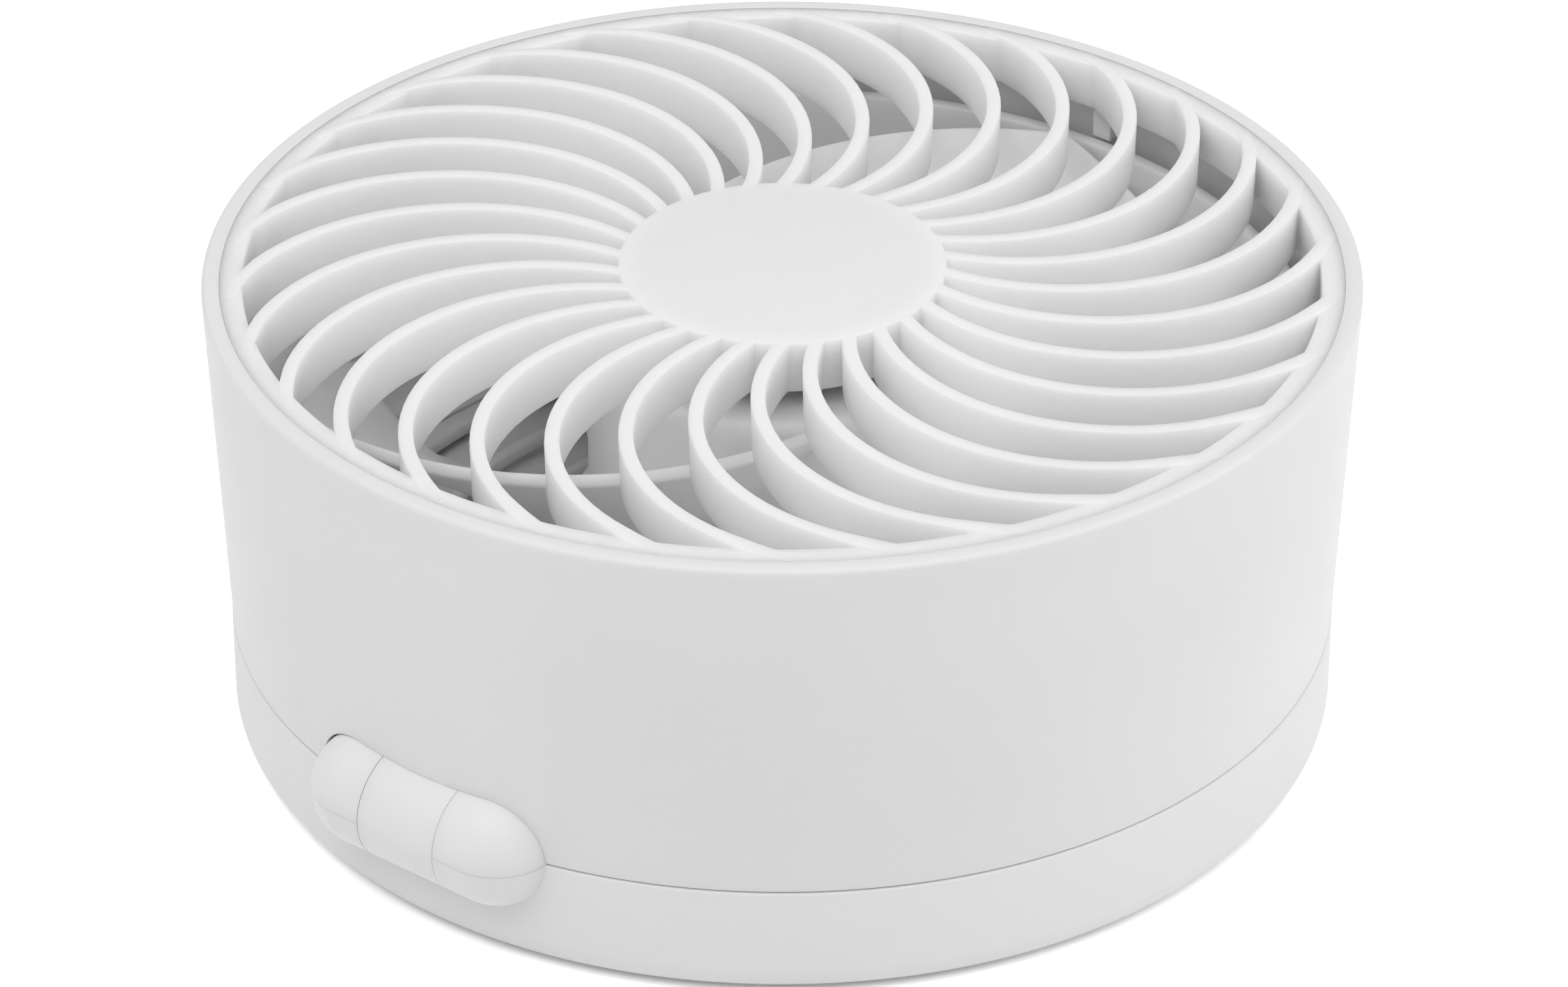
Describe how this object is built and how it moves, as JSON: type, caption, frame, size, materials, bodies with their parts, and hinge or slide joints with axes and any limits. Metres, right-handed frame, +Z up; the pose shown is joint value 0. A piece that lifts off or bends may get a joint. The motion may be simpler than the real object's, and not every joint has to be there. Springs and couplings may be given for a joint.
{
  "type": "air circulator fan",
  "caption": "Folding desk air circulator fan: a round drum head with a swirl grille and impeller, hinged on a shallow rechargeable base, shown closed.",
  "frame": {"origin": "centre of the anti-slip pad's lower face, on the axis of the drum", "axes": "+Z up through the grille along the impeller's axis, hinge at -Y with its axis along X, button and charge socket at +Y"},
  "size_m": [0.16, 0.1634, 0.0694],
  "materials": {
    "shell_white": "fine matt moulding",
    "grille_white": "satin moulding",
    "duct_white": "satin moulding",
    "impeller_white": "satin to gloss moulding",
    "button_white": "satin moulding",
    "rubber_grey": "matt rubber",
    "plastic_black": "matt",
    "light_clear": "clear, frosted",
    "steel_bright": "turned",
    "screw_zinc": "zinc plated",
    "bush_brass": "turned",
    "winding_copper": "enamelled wire",
    "stator_steel": "stacked laminations",
    "magnet_dark": "sintered",
    "board_green": "solder mask",
    "battery_wrap": "foil pouch",
    "foam_grey": "closed-cell foam"
  },
  "bodies": {
    "base": {"base_shell": "shell_white", "deck_cover": "shell_white", "anti_slip_pad": "rubber_grey", "case_screw_1": "screw_zinc", "case_screw_2": "screw_zinc", "case_screw_3": "screw_zinc", "case_screw_4": "screw_zinc", "battery_pack": "battery_wrap", "battery_foam": "foam_grey", "control_board": "board_green", "charge_socket": "steel_bright", "tact_switch": "plastic_black", "light_guide": "light_clear", "hinge_pin": "steel_bright", "hinge_washer_left": "steel_bright", "hinge_washer_right": "steel_bright"},
    "head": {"drum_shell": "shell_white", "front_grille": "grille_white", "duct_frame": "duct_white", "rear_guard": "duct_white", "duct_screw_1": "screw_zinc", "duct_screw_2": "screw_zinc", "duct_screw_3": "screw_zinc", "duct_screw_4": "screw_zinc", "guard_screw_1": "screw_zinc", "guard_screw_2": "screw_zinc", "guard_screw_3": "screw_zinc", "motor_base": "steel_bright", "motor_screw_1": "screw_zinc", "motor_screw_2": "screw_zinc", "motor_screw_3": "screw_zinc", "stator_core": "stator_steel", "winding_upper": "winding_copper", "winding_lower": "winding_copper", "motor_board": "board_green", "bearing_upper": "steel_bright", "bearing_lower": "steel_bright", "preload_washer": "steel_bright", "hinge_sleeve": "plastic_black"},
    "rotor": {"impeller": "impeller_white", "rotor_can": "steel_bright", "magnet_ring": "magnet_dark", "rotor_bush": "bush_brass", "motor_shaft": "steel_bright", "shaft_clip": "steel_bright"},
    "button": {"power_button": "button_white"}
  },
  "joints": [
    {"name": "head_tilt", "type": "hinge", "parent": "base", "child": "head", "pos_m": [0, -0.07505, 0.0173], "axis": [1, 0, 0], "range_deg": [0, 90]},
    {"name": "impeller_spin", "type": "hinge", "parent": "head", "child": "rotor", "pos_m": [0, 0, 0.045], "axis": [0, 0, 1], "continuous": true},
    {"name": "button_press", "type": "slide", "parent": "base", "child": "button", "axis": [0, -1, 0], "range_m": [0, 0.0006], "stiffness_N_per_m": 1500, "springref_m": -0.0004}
  ]
}
